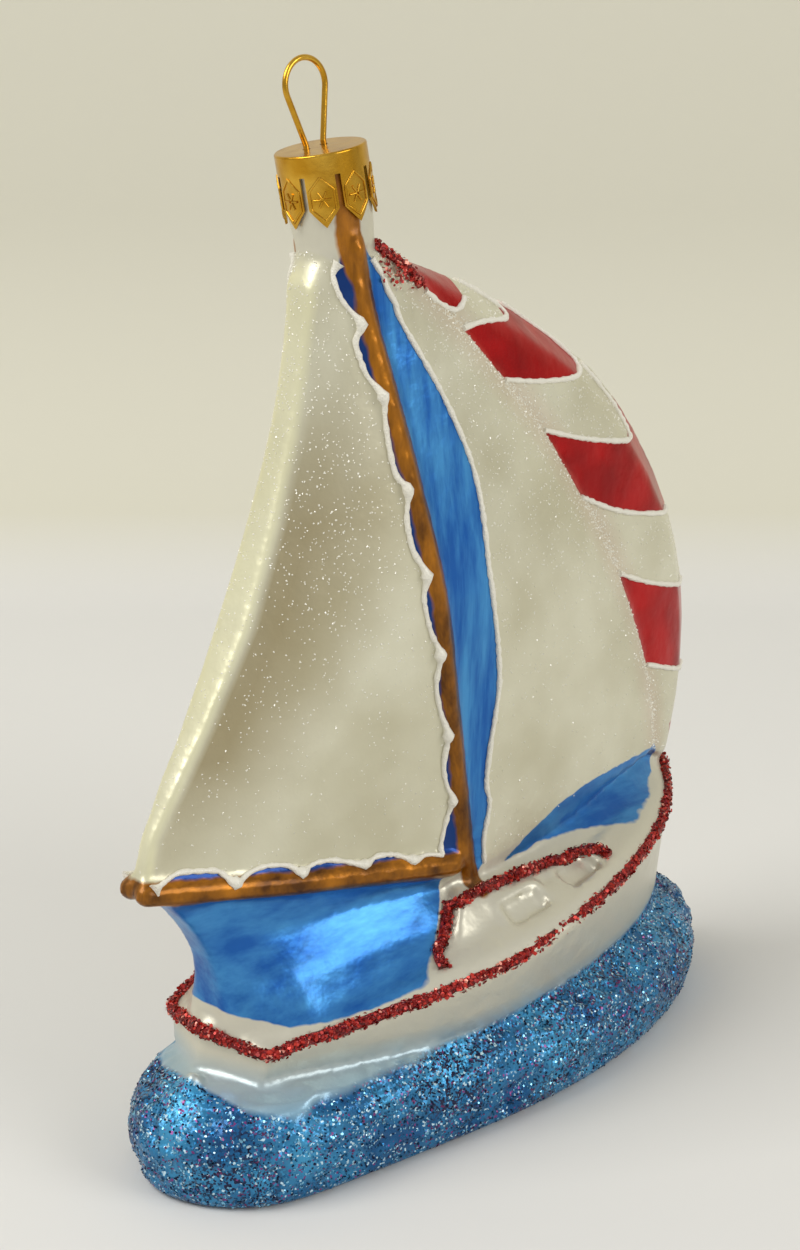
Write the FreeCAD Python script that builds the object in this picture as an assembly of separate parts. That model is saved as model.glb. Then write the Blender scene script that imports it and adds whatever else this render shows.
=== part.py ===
"""Blown glass sailing boat ornament with a stamped crown cap and a spring wire hanger.

Frame: X runs from stern to bow, Y to port, Z up, in millimetres. The origin is the middle of
the underside of the wave that the boat stands on. The glass was blown in a mould that parts on
the plane Y = 0, so every form of the boat is the same to starboard and to port.
"""
import FreeCAD, Part
import math
import os

V = FreeCAD.Vector
os.makedirs("parts", exist_ok=True)

# Glass
glass_wall = 1.1            # thickness of the blown wall

# Wave base
base_length = 123.0
base_width = 50.0
base_turn = 2.4             # degrees that the wave lies across the boat's line, bow to port
base_bulge_height = 8.5     # level at which the wave is widest
base_top_height = 17.0      # level at which the wave closes on the hull
base_foot_inset = 2.6       # the flat underside is this much smaller all round
base_top_inset = 11.0
crest_height = 2.4          # how far a wave crest stands out
crest_length = 19.0
crest_pitch = 16.0          # degrees that a crest climbs towards the bow
crests_per_side = 6
peak_height = 9.0           # the wave that breaks on the transom
peak_root_radius = 4.6
peak_tip_radius = 0.9

# Hull
hull_stern_x = -50.0        # transom's middle, at deck level
hull_bow_x = 54.1
hull_beam = 49.2
transom_width = 22.9
transom_vee = 4.2           # how far the transom's middle stands aft of its corners
transom_rake = 0.21         # aft travel of the transom for each millimetre down
hull_keel_height = 6.0      # the hull runs down into the wave to this level
hull_keel_share = 0.62      # beam down there, as a share of the deck's beam
sheer_stern_height = 20.95  # deck edge at the transom's middle
sheer_bow_height = 37.9
deck_crown = 3.9

# Cabin
cabin_aft_x = -15.5
cabin_fore_x = 33.0
cabin_top_aft_x = -9.5
cabin_top_fore_x = 23.0
cabin_top_height = 35.2
cabin_top_width = 29.0
cabin_roof_rise = 1.7       # the roof's flat lies this far above its edge
cabin_side_deck = 3.4       # deck left between the cabin and the sheer
window_length = 10.4
window_height = 6.6
window_frame = 1.2          # width of a window's raised frame
window_relief = 0.5         # how far a frame stands out, and how deep its pane is
window_corner = 1.3
WINDOW_SHARES = (0.33, 0.66)    # places of the windows along the cabin's side

# Mast and boom, half sunk in the sails
mast_diameter = 3.6
boom_diameter = 3.7
spar_sink = 0.3             # a spar's axis lies this far under the sail's face
mast_head_x = -22.9
mast_foot_x = -4.5
mast_foot_z = 36.6
boom_aft_x = -60.2
boom_aft_z = 48.6
boom_fore_x = -8.2
boom_fore_z = 40.4

# Sails
sail_head_z = 135.0
sail_step = 0.9             # a sail's edge stands this far above what lies behind it
foresail_foot_height = 36.9     # level of the foresail's foot at its clew
foresail_foot_slope = 0.16
foresail_clew_x = 1.9
foresail_tack_x = 43.5

# Neck
neck_diameter = 12.0
neck_root_diameter = 11.0   # where the sails run into it
neck_root_length = 5.0      # over which it widens to its full diameter
neck_length = 14.3
neck_head_x = -21.0         # the neck's axis where the sails run into it
neck_rake = 8.0             # degrees that the neck leans aft
neck_lean = 4.0             # degrees that the neck leans to port

# Cap
cap_sheet = 0.35
cap_clearance = 0.2         # between the neck and the cap's skirt
cap_skirt = 10.2            # cap's height, from its top to the points of its tabs
cap_tab_point = 2.6         # length of the pointed end of a tab
cap_tabs = 8
cap_slot = 0.8              # width of the slots between the tabs
cap_band = 3.0              # height of the whole band above the slots
cap_rim_radius = 0.3        # rounding where the top turns into the skirt
cap_turn = -138.0           # bearing of one tab's middle, from the bow
seat_clearance = 0.05       # between the cap's underside and the neck's rim

# Hanger
wire_diameter = 0.85
hole_clearance = 0.15       # round the wire, in each hole of the cap
hole_spacing = 3.3
hanger_offset = 1.0         # the two holes lie this far to port of the cap's middle
loop_width = 8.2            # over the wire
loop_height = 12.7          # from the cap's top to the outside of the loop
leg_length = 9.0            # of each leg, below the cap's top
leg_splay = 2.4             # how far each leg springs out inside the neck


def line(a, b):
    return Part.LineSegment(V(*a), V(*b)).toShape()


def arc(a, b, c):
    return Part.Arc(V(*a), V(*b), V(*c)).toShape()


def spline(points):
    curve = Part.BSplineCurve()
    curve.interpolate([V(*p) for p in points])
    return curve.toShape()


def closed_spline(points):
    curve = Part.BSplineCurve()
    curve.interpolate([V(*p) for p in points], True)
    return Part.Wire([curve.toShape()])


def polyline(points):
    return [line(a, b) for a, b in zip(points, points[1:])]


def polygon(points):
    return Part.makePolygon([V(*p) for p in points + points[:1]])


def ruled_loft(sections):
    return Part.makeLoft(sections, True, True)


def both_sides(shape):
    return [shape, shape.mirror(V(0, 0, 0), V(0, 1, 0))]


def fuse(shapes):
    return shapes[0].multiFuse(shapes[1:])


def between(table, key, column):
    """The table's column at a key, on straight lines between its rows."""
    rows = sorted(table)
    if key <= rows[0][0]:
        return rows[0][column]
    for low, high in zip(rows, rows[1:]):
        if key <= high[0]:
            share = (key - low[0]) / (high[0] - low[0])
            return low[column] + share * (high[column] - low[column])
    return rows[-1][column]


# Outlines in plan, as shares of half the length and half the width, from stern to bow
BASE_PLAN = [(-1.0, 0.0), (-0.967, 0.29), (-0.88, 0.555), (-0.64, 0.76), (-0.31, 0.9),
             (0.05, 1.0), (0.44, 0.925), (0.72, 0.71), (0.91, 0.40)]
HULL_SIDE = [(-0.70, 0.655), (-0.44, 0.865), (-0.17, 1.0), (0.12, 0.98), (0.43, 0.845),
             (0.733, 0.555)]


def base_section(z, inset):
    """Outline of the wave at one level, drawn in by an inset."""
    half_length = base_length / 2 - inset
    half_width = base_width / 2 - inset
    starboard = [(x * half_length, -y * half_width, z) for x, y in BASE_PLAN]
    port = [(x, -y, z) for x, y, z in reversed(starboard[1:])]
    return closed_spline(starboard + [(half_length, 0, z)] + port)


def wave_loaf():
    """The body of the wave: a flat underside, a bulged side and a shoulder against the hull."""
    rise = base_bulge_height
    fall = base_top_height - base_bulge_height
    levels = [(0, base_foot_inset), (0.19 * rise, 0.43 * base_foot_inset),
              (0.53 * rise, 0.1 * base_foot_inset), (rise, 0.0),
              (rise + 0.47 * fall, 0.12 * base_top_inset),
              (rise + 0.82 * fall, 0.44 * base_top_inset), (base_top_height, base_top_inset)]
    return ruled_loft([base_section(z, inset) for z, inset in levels])


def wave_hollow():
    rise = base_bulge_height
    fall = base_top_height - base_bulge_height
    levels = [(glass_wall, base_foot_inset), (0.3 * rise + 0.5 * glass_wall, 0.2 * base_foot_inset),
              (rise, 0.0), (rise + 0.47 * fall, 0.16 * base_top_inset),
              (base_top_height - glass_wall, base_top_inset)]
    return ruled_loft([base_section(z, inset + glass_wall) for z, inset in levels])


def crest(x, y, z, turn):
    """A wave crest: a ridge that swells and dies away, half sunk in the side of the base."""
    sections = []
    for along, share in ((-0.5, 0.15), (-0.2, 0.85), (0.12, 1.0), (0.5, 0.12)):
        reach = share * crest_height
        kite = [(0.3, -1.5 * reach), (-reach, 0.25 * reach), (0.3, 1.1 * reach), (2.5, 0)]
        sections.append(polygon([(along * crest_length, v, w) for v, w in kite]))
    ridge = ruled_loft(sections)
    ridge.rotate(V(0, 0, 0), V(0, 1, 0), -crest_pitch)
    ridge.rotate(V(0, 0, 0), V(0, 0, 1), turn)
    ridge.translate(V(x, y, z))
    return ridge


def base_half_width(x):
    return base_width / 2 * between([(u * base_length / 2, w) for u, w in BASE_PLAN], x, 1)


def wave():
    """The loaf with the crests along its sides and the peak that breaks on the transom."""
    shapes = [wave_loaf()]
    first = -0.34 * base_length
    step = 0.74 * base_length / crests_per_side
    for number in range(crests_per_side):
        x = first + step * number
        high = number % 2
        y = -(base_half_width(x) - 2.6 - 1.2 * high)
        ahead = base_half_width(x + 6) - base_half_width(x - 6)
        turn = math.degrees(math.atan2(-ahead, 12)) + 9
        shapes += both_sides(crest(x, y, base_bulge_height + 3.2 + 1.2 * high, turn))
    peak = Part.makeCone(peak_root_radius, peak_tip_radius, peak_height)
    peak.rotate(V(0, 0, 0), V(0, 1, 0), 12)
    peak.translate(V(hull_stern_x - 4.8, 0, base_top_height + 1.2 - peak_height))
    return turned(fuse(shapes + [peak]))


def turned(shape):
    """The wave and what is inside it lie a little across the boat's line."""
    shape.rotate(V(0, 0, 0), V(0, 0, 1), base_turn)
    return shape


def sheer_z(x):
    """Level of the deck's edge."""
    slope = (sheer_bow_height - sheer_stern_height) / (hull_bow_x - hull_stern_x)
    return sheer_stern_height + slope * (x - hull_stern_x)


def hull_x(share):
    middle = (hull_bow_x + hull_stern_x) / 2
    return middle + share * (hull_bow_x - hull_stern_x) / 2


def deck_half_width(x):
    corner = hull_stern_x + transom_vee
    table = [(hull_stern_x, 0.0), (corner, transom_width / 2)]
    table += [(hull_x(u), w * hull_beam / 2) for u, w in HULL_SIDE] + [(hull_bow_x, 0.0)]
    return between(table, x, 1)


def boat_outline(z_of, beam_share=1.0, draw_in=0.0, vee_share=1.0, stern_inset=0.0, aft=0.0):
    """Outline of the hull or deck in one plane, with the flat vee of its transom."""
    stern = hull_stern_x - aft + stern_inset
    corner_y = max(0.3, (transom_width / 2 * beam_share - stern_inset) * vee_share)
    side = [(stern + transom_vee * vee_share, -corner_y)]
    side += [(hull_x(u), -(w * hull_beam / 2 * beam_share - draw_in)) for u, w in HULL_SIDE]
    side.append((hull_bow_x - draw_in, 0))
    starboard = [(x, y, z_of(x)) for x, y in side]
    port = [(x, -y, z) for x, y, z in reversed(starboard)]
    middle = (stern, 0, z_of(stern))
    return Part.Wire([line(middle, starboard[0]), spline(starboard), spline(port), line(port[-1], middle)])


def hull(wall=0.0):
    """From inside the wave up to the sheer; a wall gives the hollow inside it."""
    drop = sheer_stern_height - hull_keel_height
    low = boat_outline(lambda x: hull_keel_height, hull_keel_share, wall, 1.0, wall, transom_rake * drop)
    high = boat_outline(lambda x: sheer_z(x) - 0.2 * wall, 1.0, wall, 1.0, wall)
    return ruled_loft([low, high])


def deck():
    """The crowned deck: its edge draws in as it rises, apart from the middle of the transom."""
    sections = []
    for share, draw_in in ((0.0, 0.0), (0.5, 2.3), (0.93, 7.2)):
        lift = share * deck_crown
        sections.append(boat_outline(lambda x: sheer_z(x) + lift, 1.0, draw_in, 1.0 - share))
    return ruled_loft(sections)


# Wall between the deck and the sails, by station along the hull:
# station, foot's half width, half width a third of the way up, waist, head's half width
WALL_STATIONS = [(-58.0, 2.6, 2.6, 2.6, 2.6), (-49.0, 2.9, 2.8, 2.7, 2.9), (-46.0, 7.6, 4.6, 3.4, 3.8),
                 (-38.0, 12.8, 8.0, 5.2, 6.2), (-26.0, 16.6, 11.0, 7.2, 8.6),
                 (-14.0, 19.6, 14.0, 9.8, 10.6), (-2.0, 20.0, 15.4, 11.4, 11.2),
                 (12.0, 19.6, 15.0, 10.6, 10.0), (26.0, 16.2, 12.4, 8.4, 8.0),
                 (38.0, 11.0, 8.4, 6.0, 6.2), (48.0, 5.2, 4.2, 3.4, 3.8), (52.0, 2.2, 2.0, 1.8, 2.0)]


def boom_z(x):
    slope = (boom_fore_z - boom_aft_z) / (boom_fore_x - boom_aft_x)
    return boom_aft_z + slope * (x - boom_aft_x)


def foresail_foot_z(x):
    return foresail_foot_height + foresail_foot_slope * (x - foresail_clew_x)


def wall_head_z(x):
    """The wall ends just inside the sails, above the boom and the foot of the foresail."""
    return boom_z(x) + 1.5 if x < mast_foot_x else foresail_foot_z(x) + 2.2


def wall_section(row, wall):
    x, foot, third, waist, head = row
    low = sheer_z(max(x, hull_stern_x)) + (1.3 if wall == 0 else -3.0)
    high = wall_head_z(x)
    rise = high - low
    side = [(foot - wall, low), (third - wall, low + 0.28 * rise),
            (waist - wall, low + 0.62 * rise), (head - wall, high)]
    starboard = [(x, -y, z) for y, z in side]
    port = [(x, y, z) for y, z in reversed(side)]
    return polygon(starboard + port)


def walls():
    """The waisted wall under the sails, with the hollow sweep up to the clew at its aft end."""
    body = ruled_loft([wall_section(row, 0.0) for row in WALL_STATIONS])
    stern = hull_stern_x + 1.4
    clew = (-57.4, 0, 46.4)
    foot = (stern, 0, 22.0)
    top, reach = 60.0, 60.0
    sweep = spline([foot, (stern + 0.6, 0, 27.5), (stern - 0.2, 0, 33.5), (stern - 2.4, 0, 38.6), clew])
    corners = [clew, (clew[0], 0, top), (reach, 0, top), (reach, 0, foot[2]), foot]
    profile = Part.Wire([sweep] + [line(a, b) for a, b in zip(corners, corners[1:])])
    slab = Part.Face(profile).extrude(V(0, reach, 0))
    slab.translate(V(0, -reach / 2, 0))
    return body.common(slab)


def wall_hollow():
    return ruled_loft([wall_section(row, glass_wall) for row in WALL_STATIONS if -40 < row[0] < 40])


# Sails, by level: level, leech, its half width, half width at the mast, foresail's leech,
# luff, its half width, spinnaker's shoulder, its half width, spinnaker's crown
SAIL_LEVELS = [(34.0, -61.2, 1.4, 10.4, -1.7, 43.2, 6.0, 49.5, 3.6, 54.0),
               (44.0, -61.4, 1.4, 10.9, -1.7, 44.1, 6.4, 51.8, 4.2, 57.0),
               (56.0, -58.7, 1.4, 11.6, -1.6, 41.5, 6.8, 53.2, 4.8, 59.3),
               (70.0, -50.1, 2.3, 12.3, -0.2, 36.8, 7.0, 52.0, 5.0, 58.6),
               (84.0, -42.4, 3.0, 12.9, -3.2, 29.1, 7.0, 47.4, 5.2, 53.8),
               (98.0, -36.6, 2.6, 11.2, -3.4, 19.3, 6.8, 37.8, 5.2, 45.2),
               (110.0, -32.5, 2.2, 9.2, -7.6, 8.9, 6.5, 26.3, 5.0, 34.2),
               (119.0, -30.4, 2.0, 7.5, -11.8, 0.6, 6.0, 12.8, 4.7, 20.3),
               (126.0, -29.2, 2.0, 6.1, -15.6, -6.0, 5.3, 0.8, 4.2, 7.8),
               (131.0, -28.5, 2.4, 5.6, -17.8, -10.6, 4.6, -7.6, 3.4, -4.4)]


def smooth_levels():
    """The sails' levels with one more between each two, on smooth curves through them."""
    rows = []
    for number, (low, high) in enumerate(zip(SAIL_LEVELS, SAIL_LEVELS[1:])):
        before = SAIL_LEVELS[max(number - 1, 0)]
        after = SAIL_LEVELS[min(number + 2, len(SAIL_LEVELS) - 1)]
        z = (low[0] + high[0]) / 2
        span = high[0] - low[0]
        middle = [z]
        for a, b, c, d in zip(before[1:], low[1:], high[1:], after[1:]):
            slope_low = (c - a) / (high[0] - before[0])
            slope_high = (d - b) / (after[0] - low[0])
            middle.append((b + c) / 2 + span * (slope_low - slope_high) / 8)
        rows += [low, tuple(middle)]
    return rows + [SAIL_LEVELS[-1]]


def mast_x(z):
    slope = (mast_head_x - mast_foot_x) / (sail_head_z - mast_foot_z)
    return mast_foot_x + slope * (z - mast_foot_z)


def sail_section(row, wall=0.0):
    """Outline at one level: leech, mainsail, mast, gap, foresail, its step, spinnaker, crown."""
    z, leech, leech_half, mast_half, fore_leech, luff, luff_half, shoulder, shoulder_half, crown = row
    step = sail_step if wall == 0 else 0.0
    mast_radius = mast_diameter / 2
    x_mast = mast_x(z)
    chord = x_mast - mast_radius - leech
    belly = mast_half - leech_half
    fore_chord = luff - fore_leech
    taper = mast_half - luff_half
    leech_point = (leech + 2.2 * wall, max(0.4, leech_half - wall))
    mainsail = [leech_point, (leech + 0.33 * chord, leech_half + 0.42 * belly - wall),
                (leech + 0.70 * chord, leech_half + 0.80 * belly - wall),
                (x_mast - mast_radius, mast_half - wall)]
    mast_crest = (x_mast, mast_half + mast_radius - spar_sink)
    gap_fore = (x_mast + mast_radius, mast_half - wall)
    foresail = [(fore_leech, mast_half + step - wall),
                (fore_leech + 0.35 * fore_chord, mast_half + step - 0.22 * taper - wall),
                (fore_leech + 0.70 * fore_chord, mast_half + step - 0.58 * taper - wall),
                (luff, luff_half + step - wall)]
    spinnaker = [(luff + sail_step, luff_half - wall),
                 ((luff + shoulder) / 2, (luff_half + shoulder_half) / 2 + 0.5 - wall),
                 (shoulder - wall, shoulder_half - wall)]
    tip = (crown - 2.2 * wall, 0, z)
    edges = [line((leech_point[0], leech_point[1], z), (leech_point[0], -leech_point[1], z))]
    if wall > 0:
        half = mainsail + [gap_fore] + foresail + spinnaker
        starboard = [(x, -y, z) for x, y in half]
        port = [(x, y, z) for x, y in reversed(half)]
        return polygon(starboard + [tip] + port)
    for side in (-1, 1):
        def at(points):
            return [(x, side * y, z) for x, y in points]
        main, crest_point, gap = at(mainsail), at([mast_crest])[0], at([gap_fore])[0]
        fore, spin = at(foresail), at(spinnaker)
        edges += [spline(main), arc(main[-1], crest_point, gap), line(gap, fore[0]), spline(fore),
                  line(fore[-1], spin[0]), spline(spin), line(spin[-1], tip)]
    return Part.Wire(Part.__sortEdges__(edges))


def head_section(wall=0.0):
    """The last outline of the sails: the neck's own round, in as many arcs as the others."""
    radius = neck_root_diameter / 2 - wall

    def at(degrees):
        a = math.radians(degrees)
        return (neck_head_x + radius * math.cos(a), radius * math.sin(a), sail_head_z)

    if wall > 0:
        half = [-166, -150, -136, -122, -98, -86, -74, -62, -48, -40, -28, -16]
        return polygon([at(a) for a in half] + [at(0)] + [at(-a) for a in reversed(half)])
    stops = [-166, -122, -98, -86, -48, -40, -16, 0]
    edges = [arc(at(166), at(180), at(194))]
    for a, b in zip(stops, stops[1:]):
        edges += [arc(at(a), at((a + b) / 2), at(b)), arc(at(-b), at(-(a + b) / 2), at(-a))]
    return Part.Wire(Part.__sortEdges__(edges))


def sail_trim(lift=0.0):
    """Room under the boom and under the foresail's foot, beside the mast's foot."""
    under = lift - 1.0
    low, reach = 15.0, 80.0
    mast_aft = mast_foot_x - mast_diameter / 2
    mast_fore = mast_foot_x + mast_diameter / 2
    outline = [(-reach, boom_z(-reach) + under), (mast_aft, boom_z(mast_aft) + under),
               (mast_aft, mast_foot_z + lift), (mast_fore, mast_foot_z + lift),
               (foresail_clew_x, foresail_foot_z(foresail_clew_x) + lift),
               (foresail_tack_x, foresail_foot_z(foresail_tack_x) + lift), (50.0, 41.0 + lift),
               (58.0, 38.0 + lift), (reach, 38.0 + lift), (reach, low), (-reach, low)]
    face = Part.Face(polygon([(x, -40, z) for x, z in outline]))
    return face.extrude(V(0, 80, 0))


def sails():
    return ruled_loft([sail_section(row) for row in smooth_levels()] + [head_section()]).cut(sail_trim())


def sail_hollow():
    sections = [sail_section(row, glass_wall) for row in SAIL_LEVELS] + [head_section(glass_wall)]
    return ruled_loft(sections).cut(sail_trim(glass_wall))


def cabin_levels():
    """Starboard sides of the cabin: on the deck, along the edge of its roof, and on the roof."""
    roof = cabin_top_width / 2

    def side(x_aft, x_fore, half_of, z_of):
        places = [x_aft + (x_fore - x_aft) * number / 4 for number in range(5)]
        return [(x, -half_of(x), z_of(x)) for x in places]

    low = side(cabin_aft_x, cabin_fore_x, lambda x: deck_half_width(x) - cabin_side_deck,
               lambda x: sheer_z(x) + 0.4)
    edge = side(cabin_top_aft_x, cabin_top_fore_x, lambda x: roof - 0.0045 * max(x - 4, 0) ** 2,
                lambda x: cabin_top_height)
    top = side(cabin_top_aft_x + 1.5, cabin_top_fore_x - 3.0, lambda x: roof - 3.4,
               lambda x: cabin_top_height + cabin_roof_rise)
    return low, edge, top


def cabin():
    sections = []
    for side in cabin_levels():
        port = [(x, -y, z) for x, y, z in reversed(side)]
        sections.append(Part.Wire([line(port[-1], side[0]), spline(side), line(side[-1], port[0]),
                                   spline(port)]))
    return ruled_loft(sections)


def window_place(share):
    """Middle of a window on the starboard side, with the side's directions along, up and out."""
    low, edge, _ = cabin_levels()
    low_curve, edge_curve = spline(low).Curve, spline(edge).Curve

    def on(curve, t):
        return curve.value(curve.FirstParameter + t * (curve.LastParameter - curve.FirstParameter))

    def middle(t):
        return (on(low_curve, t) + on(edge_curve, t)) * 0.5

    along = (middle(share + 0.05) - middle(share - 0.05)).normalize()
    up = on(edge_curve, share) - on(low_curve, share)
    out = along.cross(up).normalize()
    return middle(share), along, out.cross(along).normalize(), out


def rounded_panel(length, height, corner, low, high, place):
    """A rounded rectangle, extruded from low to high along the third direction of its place."""
    middle, along, up, out = place
    box = Part.makeBox(length, height, high - low, V(-length / 2, -height / 2, low))
    panel = box.makeFillet(corner, [e for e in box.Edges if abs(e.tangentAt(e.FirstParameter).z) > 0.9])
    panel.transformShape(FreeCAD.Matrix(along.x, up.x, out.x, middle.x, along.y, up.y, out.y, middle.y,
                                        along.z, up.z, out.z, middle.z, 0, 0, 0, 1))
    return panel


def windows():
    """Raised frames to add to both sides, and the shallow panes to cut inside them."""
    frames, panes = [], []
    pane_length = window_length - 2 * window_frame
    pane_height = window_height - 2 * window_frame
    for share in WINDOW_SHARES:
        place = window_place(share)
        frames += both_sides(rounded_panel(window_length, window_height, window_corner, -1.2,
                                           window_relief, place))
        panes += both_sides(rounded_panel(pane_length, pane_height, window_corner / 2, -window_relief,
                                          3.0, place))
    return frames, panes


def mast_half(z):
    return between([(row[0], row[3]) for row in SAIL_LEVELS], z, 1)


def mast_top():
    """The mast above the sails: it leaves them and ends on the neck, below the cap."""
    start = V(mast_x(127.0), -(mast_half(127.0) - 1.6), 127.0)
    end = neck_point(cap_mouth() - 1.4 - mast_diameter / 2)
    end += V(-1.3, -(neck_root_diameter / 2 - spar_sink), 0)
    run = end - start
    return Part.makeCylinder(mast_diameter / 2, run.Length, start, run).fuse(
        Part.makeSphere(mast_diameter / 2, end))


def boom():
    """Two straight runs that follow the belly of the mainsail's foot, with round ends."""
    middle_x = boom_aft_x + 0.45 * (boom_fore_x - boom_aft_x)
    joints = [V(boom_aft_x, -1.7, boom_aft_z), V(middle_x, -7.2, boom_z(middle_x)),
              V(boom_fore_x, -11.3, boom_fore_z)]
    radius = boom_diameter / 2
    runs = [Part.makeCylinder(radius, (b - a).Length, a, b - a) for a, b in zip(joints, joints[1:])]
    return fuse(runs + [Part.makeSphere(radius, joint) for joint in joints])


def neck_axis():
    rake = math.radians(neck_rake)
    lean = math.radians(neck_lean)
    return V(-math.tan(rake), math.tan(lean), 1).normalize()


def neck_point(distance):
    """A point on the neck's axis, from where the sails run into it."""
    return V(neck_head_x, 0, sail_head_z) + neck_axis() * distance


def on_neck(shape, distance):
    """Stands a shape that was made on the Z axis on the neck's axis."""
    shape.Placement = FreeCAD.Placement(neck_point(distance), FreeCAD.Rotation(V(0, 0, 1), neck_axis()))
    return shape


def neck_stem(wall, sunk, spare):
    """The neck, or with a wall its bore: sunk into the sails, and run on past the rim."""
    root = neck_root_diameter / 2 - wall
    full = neck_diameter / 2 - wall
    top = neck_length + spare
    outline = [(0, 0, -sunk), (root, 0, -sunk), (root, 0, 0), (full, 0, neck_root_length), (full, 0, top),
               (0, 0, top)]
    stem = Part.Face(polygon(outline)).revolve(V(0, 0, 0), V(0, 0, 1), 360)
    return on_neck(stem, 0)


def cap_head():
    """Distance of the cap's top along the neck's axis."""
    return neck_length + seat_clearance + cap_sheet


def cap_mouth():
    """Distance of the points of the cap's tabs."""
    return cap_head() - cap_skirt


def glass_body():
    frames, panes = windows()
    outer = fuse([wave(), hull(), deck(), walls(), sails(), cabin(), neck_stem(0.0, 3.0, 0.0)]
                 + both_sides(mast_top()) + both_sides(boom()) + frames)
    hollow = fuse([turned(wave_hollow()), hull(glass_wall), wall_hollow(), sail_hollow(),
                   neck_stem(glass_wall, 5.0, 4.0)])
    return outer.cut(panes + [hollow])


def cap():
    radius = neck_diameter / 2 + cap_clearance + cap_sheet
    shell = Part.makeCylinder(radius, cap_skirt, V(0, 0, -cap_skirt))
    rim = [e for e in shell.Edges if e.BoundBox.ZMin > -0.01]
    shell = shell.makeFillet(cap_rim_radius, rim)
    shell = shell.cut(Part.makeCylinder(radius - cap_sheet, cap_skirt, V(0, 0, -cap_skirt - cap_sheet)))
    half_pitch = math.pi * radius / cap_tabs
    mouth = -cap_skirt - 0.01
    shoulder = mouth + cap_tab_point
    slot_half = cap_slot / 2
    cut_outline = [(-half_pitch, mouth), (-slot_half, shoulder), (-slot_half, -cap_band),
                   (slot_half, -cap_band), (slot_half, shoulder), (half_pitch, mouth)]
    face = Part.Face(polygon([(radius / 2, y, z) for y, z in cut_outline]))
    for number in range(cap_tabs):
        cut = face.extrude(V(radius, 0, 0))
        cut.rotate(V(0, 0, 0), V(0, 0, 1), cap_turn + 360 / cap_tabs * (number + 0.5))
        shell = shell.cut(cut)
    for side in (-1, 1):
        shell = shell.cut(Part.makeCylinder(wire_diameter / 2 + hole_clearance, 4,
                                            V(side * hole_spacing / 2, hanger_offset, -2)))
    return on_neck(shell, cap_head())


def hanger():
    """One wire: a leg up through the cap, the pear-shaped loop, and back down."""
    radius = (loop_width - wire_diameter) / 2
    centre_z = loop_height - wire_diameter / 2 - radius
    foot_x = hole_spacing / 2
    lead = 0.6
    rise = centre_z - lead
    touch = math.atan2(foot_x, -rise) - math.acos(radius / math.hypot(foot_x, rise))
    touch_point = (radius * math.sin(touch), hanger_offset, centre_z + radius * math.cos(touch))
    right = [(foot_x + leg_splay, hanger_offset, -leg_length), (foot_x, hanger_offset, -1.2),
             (foot_x, hanger_offset, lead), touch_point]
    left = [(-x, y, z) for x, y, z in reversed(right)]
    runs = [line(a, b) for a, b in zip(right, right[1:])]
    runs.append(arc(right[-1], (0, hanger_offset, centre_z + radius), left[0]))
    runs += [line(a, b) for a, b in zip(left, left[1:])]
    profile = Part.Wire([Part.Circle(V(*right[0]), V(*right[1]) - V(*right[0]), wire_diameter / 2).toShape()])
    wire = Part.Wire(runs).makePipeShell([profile], True, False, 2)
    return on_neck(wire, cap_head())


def main():
    for name, make in (("glass_body", glass_body), ("cap", cap), ("hanger", hanger)):
        make().exportStep("parts/%s.step" % name)


main()
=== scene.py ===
# %% [markdown]
# # A blown glass sailing boat
# The real object is a hollow glass ornament. It was blown in a mould, silvered inside, then
# painted by hand with clear and opaque lacquers, edged with white piping and dusted with glitter.
# The metal cap and the wire loop are separate pieces. This lesson loads the boat's measured
# solids first, and then gives each surface the finish of the real one.
#
# Sizes below are in millimetres, and MM turns them into Blender's metres. X runs from stern to
# bow, Y to port and Z up.

# %% Load the frame
import math
import random

import bmesh
import bpy
import numpy as np
from mathutils import Matrix, Vector, noise
from mathutils.bvhtree import BVHTree


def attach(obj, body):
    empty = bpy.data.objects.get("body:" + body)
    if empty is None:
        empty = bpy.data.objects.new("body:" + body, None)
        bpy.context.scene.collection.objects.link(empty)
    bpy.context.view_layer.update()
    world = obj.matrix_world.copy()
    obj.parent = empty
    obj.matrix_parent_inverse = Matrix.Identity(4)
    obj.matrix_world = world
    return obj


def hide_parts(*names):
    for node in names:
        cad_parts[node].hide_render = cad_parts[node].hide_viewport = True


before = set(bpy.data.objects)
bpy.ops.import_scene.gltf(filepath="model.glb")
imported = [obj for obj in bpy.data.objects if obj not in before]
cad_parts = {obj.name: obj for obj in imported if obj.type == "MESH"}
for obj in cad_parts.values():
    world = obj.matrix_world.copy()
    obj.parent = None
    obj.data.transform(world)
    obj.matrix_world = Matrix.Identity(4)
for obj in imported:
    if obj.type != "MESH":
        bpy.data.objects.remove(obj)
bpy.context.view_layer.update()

MM = 0.001
scene = bpy.context.scene
scene.view_settings.view_transform = "Standard"
print("nodes:", sorted(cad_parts))

# %% [markdown]
# ## Camera
# The photograph looks down on the boat from the stern quarter. The camera's place was found by
# matching the deck's corners, the level waterline and the base, so it is given as a point, a yaw
# and a pitch. The lens follows from the focal length in pixels of the 1250 pixel high frame.

# %% Camera
CAMERA_PLACE = Vector((-251.4, -249.5, 190.9)) * MM
CAMERA_YAW = math.radians(-44.23)
CAMERA_PITCH = math.radians(18.19)
FRAME_HEIGHT = 1250
FOCAL_PIXELS = 2410
SENSOR = 36.0
NEAREST_SEEN = 0.01
FARTHEST_SEEN = 10

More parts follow.
